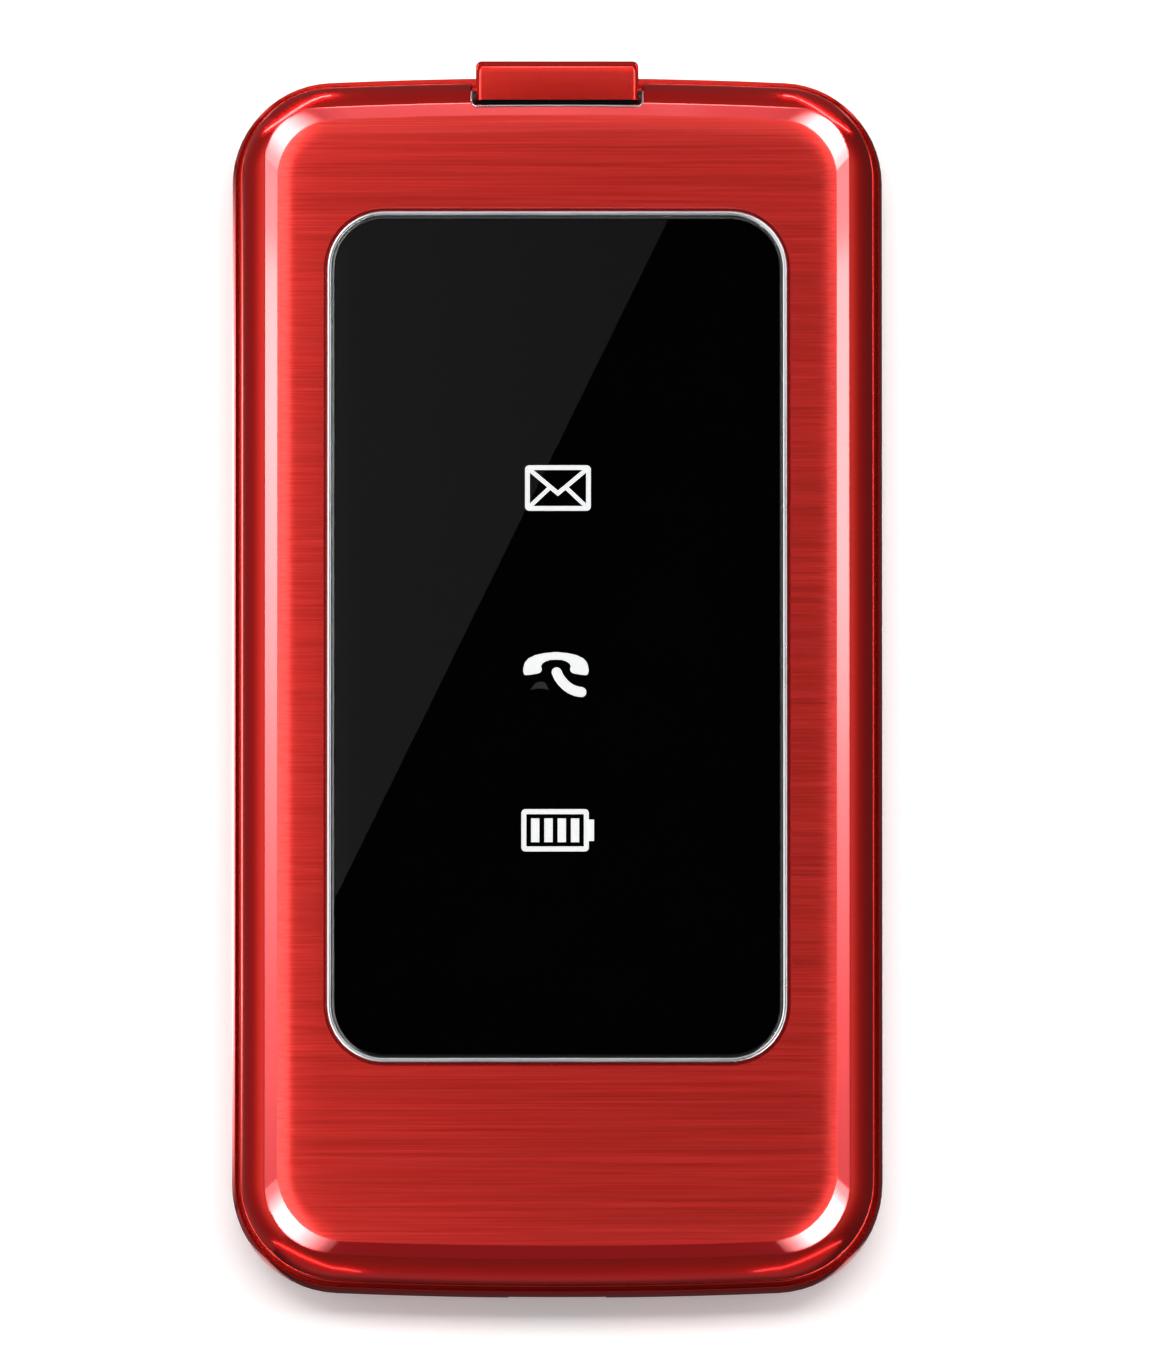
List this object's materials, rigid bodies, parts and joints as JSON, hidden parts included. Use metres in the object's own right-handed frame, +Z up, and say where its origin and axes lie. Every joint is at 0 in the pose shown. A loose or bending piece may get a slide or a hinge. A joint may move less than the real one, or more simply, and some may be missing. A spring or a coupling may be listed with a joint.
{
  "type": "flip phone",
  "caption": "Closed clamshell mobile phone with a hinged lid, keypad, outer window, sliding battery cover, side rocker and headset socket.",
  "frame": {"origin": "middle of the footprint, on the surface that the closed phone lies on", "axes": "+X across the phone, +Y along it towards the hinge end, +Z up through the closed lid"},
  "size_m": [0.055, 0.104, 0.0187],
  "materials": {
    "red_paint": "clear-coated metallic red",
    "red_brushed": "brushed and anodised red",
    "silver_rim": "satin chrome",
    "black_glass": "gloss black-backed glass",
    "icon_print": "light print on a black film",
    "clear_plastic": "clear",
    "inner_red": "gloss dark red",
    "silver_key": "satin silver",
    "black_plastic": "fine texture",
    "white_mat": "translucent silicone",
    "black_rubber": "matt",
    "steel": "bright",
    "gold": "gold plated",
    "panel_grey": "metal-framed glass sandwich",
    "board_green": "solder mask",
    "battery_label": "wrapped",
    "cable_black": "matt"
  },
  "bodies": {
    "base": {"rear_case": "red_paint", "front_frame": "red_paint", "battery": "battery_label", "battery_contacts": "gold", "main_board": "board_green", "sim_socket": "steel", "dome_sheet": "clear_plastic", "keypad_mat": "white_mat", "usb_port": "steel", "headset_jack": "black_plastic", "camera_module": "black_plastic", "camera_window": "black_glass", "loudspeaker": "panel_grey", "microphone": "steel", "vibration_motor": "steel", "strap_pin": "steel", "base_screws": "steel", "hinge_barrel": "steel", "hinge_spring": "steel", "hinge_follower": "steel", "display_cable_base_run": "cable_black"},
    "lid": {"hinge_cam": "steel", "hinge_shaft": "steel", "hinge_bush": "steel", "display_cable_lid_run": "cable_black", "lid_cover": "red_paint", "front_plate": "red_brushed", "window_rim": "silver_rim", "window_glass": "black_glass", "icon_film": "icon_print", "icon_light_guide": "clear_plastic", "lid_frame": "inner_red", "display_lens": "black_glass", "display_panel": "panel_grey", "lid_board": "board_green", "earpiece": "steel", "earpiece_grille": "steel", "lid_bumpers": "black_rubber", "lid_screws": "steel", "lid_magnet": "steel"},
    "battery_cover": {"battery_cover": "red_paint"},
    "volume_rocker": {"volume_rocker": "red_paint"},
    "soft_key_left": {"soft_key_left": "silver_key"},
    "soft_key_right": {"soft_key_right": "silver_key"},
    "call_key": {"call_key": "silver_key"},
    "end_key": {"end_key": "silver_key"},
    "nav_ring": {"nav_ring": "silver_key"},
    "ok_key": {"ok_key": "silver_key"},
    "key_1": {"key_1": "silver_key"},
    "key_2": {"key_2": "silver_key"},
    "key_3": {"key_3": "silver_key"},
    "key_4": {"key_4": "silver_key"},
    "key_5": {"key_5": "silver_key"},
    "key_6": {"key_6": "silver_key"},
    "key_7": {"key_7": "silver_key"},
    "key_8": {"key_8": "silver_key"},
    "key_9": {"key_9": "silver_key"},
    "key_star": {"key_star": "silver_key"},
    "key_0": {"key_0": "silver_key"},
    "key_hash": {"key_hash": "silver_key"}
  },
  "joints": [
    {"name": "lid_hinge", "type": "hinge", "parent": "base", "child": "lid", "pos_m": [0, 0.04875, 0.0136], "axis": [-1, 0, 0], "range_deg": [0, 155]},
    {"name": "battery_cover_slide", "type": "slide", "parent": "base", "child": "battery_cover", "axis": [0, -1, 0], "range_m": [0, 0.06]},
    {"name": "volume_rocker_tilt", "type": "hinge", "parent": "base", "child": "volume_rocker", "pos_m": [0.0252, 0.0364, 0.0044], "axis": [0, 0, 1], "range_deg": [-2.5, 2.5], "stiffness_Nm_per_rad": 0.02},
    {"name": "soft_key_left_press", "type": "slide", "parent": "base", "child": "soft_key_left", "axis": [0, 0, -1], "range_m": [0, 0.00035], "stiffness_N_per_m": 800, "deforming": ["keypad_mat"]},
    {"name": "soft_key_right_press", "type": "slide", "parent": "base", "child": "soft_key_right", "axis": [0, 0, -1], "range_m": [0, 0.00035], "stiffness_N_per_m": 800, "deforming": ["keypad_mat"]},
    {"name": "call_key_press", "type": "slide", "parent": "base", "child": "call_key", "axis": [0, 0, -1], "range_m": [0, 0.00035], "stiffness_N_per_m": 800, "deforming": ["keypad_mat"]},
    {"name": "end_key_press", "type": "slide", "parent": "base", "child": "end_key", "axis": [0, 0, -1], "range_m": [0, 0.00035], "stiffness_N_per_m": 800, "deforming": ["keypad_mat"]},
    {"name": "nav_ring_tilt", "type": "hinge", "parent": "base", "child": "nav_ring", "pos_m": [0, 0.03, 0.0091], "axis": [1, 0, 0], "range_deg": [-1.5, 1.5], "stiffness_Nm_per_rad": 0.06, "deforming": ["keypad_mat"]},
    {"name": "ok_key_press", "type": "slide", "parent": "base", "child": "ok_key", "axis": [0, 0, -1], "range_m": [0, 0.00035], "stiffness_N_per_m": 800, "deforming": ["keypad_mat"]},
    {"name": "key_1_press", "type": "slide", "parent": "base", "child": "key_1", "axis": [0, 0, -1], "range_m": [0, 0.00035], "stiffness_N_per_m": 800, "deforming": ["keypad_mat"]},
    {"name": "key_2_press", "type": "slide", "parent": "base", "child": "key_2", "axis": [0, 0, -1], "range_m": [0, 0.00035], "stiffness_N_per_m": 800, "deforming": ["keypad_mat"]},
    {"name": "key_3_press", "type": "slide", "parent": "base", "child": "key_3", "axis": [0, 0, -1], "range_m": [0, 0.00035], "stiffness_N_per_m": 800, "deforming": ["keypad_mat"]},
    {"name": "key_4_press", "type": "slide", "parent": "base", "child": "key_4", "axis": [0, 0, -1], "range_m": [0, 0.00035], "stiffness_N_per_m": 800, "deforming": ["keypad_mat"]},
    {"name": "key_5_press", "type": "slide", "parent": "base", "child": "key_5", "axis": [0, 0, -1], "range_m": [0, 0.00035], "stiffness_N_per_m": 800, "deforming": ["keypad_mat"]},
    {"name": "key_6_press", "type": "slide", "parent": "base", "child": "key_6", "axis": [0, 0, -1], "range_m": [0, 0.00035], "stiffness_N_per_m": 800, "deforming": ["keypad_mat"]},
    {"name": "key_7_press", "type": "slide", "parent": "base", "child": "key_7", "axis": [0, 0, -1], "range_m": [0, 0.00035], "stiffness_N_per_m": 800, "deforming": ["keypad_mat"]},
    {"name": "key_8_press", "type": "slide", "parent": "base", "child": "key_8", "axis": [0, 0, -1], "range_m": [0, 0.00035], "stiffness_N_per_m": 800, "deforming": ["keypad_mat"]},
    {"name": "key_9_press", "type": "slide", "parent": "base", "child": "key_9", "axis": [0, 0, -1], "range_m": [0, 0.00035], "stiffness_N_per_m": 800, "deforming": ["keypad_mat"]},
    {"name": "key_star_press", "type": "slide", "parent": "base", "child": "key_star", "axis": [0, 0, -1], "range_m": [0, 0.00035], "stiffness_N_per_m": 800, "deforming": ["keypad_mat"]},
    {"name": "key_0_press", "type": "slide", "parent": "base", "child": "key_0", "axis": [0, 0, -1], "range_m": [0, 0.00035], "stiffness_N_per_m": 800, "deforming": ["keypad_mat"]},
    {"name": "key_hash_press", "type": "slide", "parent": "base", "child": "key_hash", "axis": [0, 0, -1], "range_m": [0, 0.00035], "stiffness_N_per_m": 800, "deforming": ["keypad_mat"]}
  ]
}
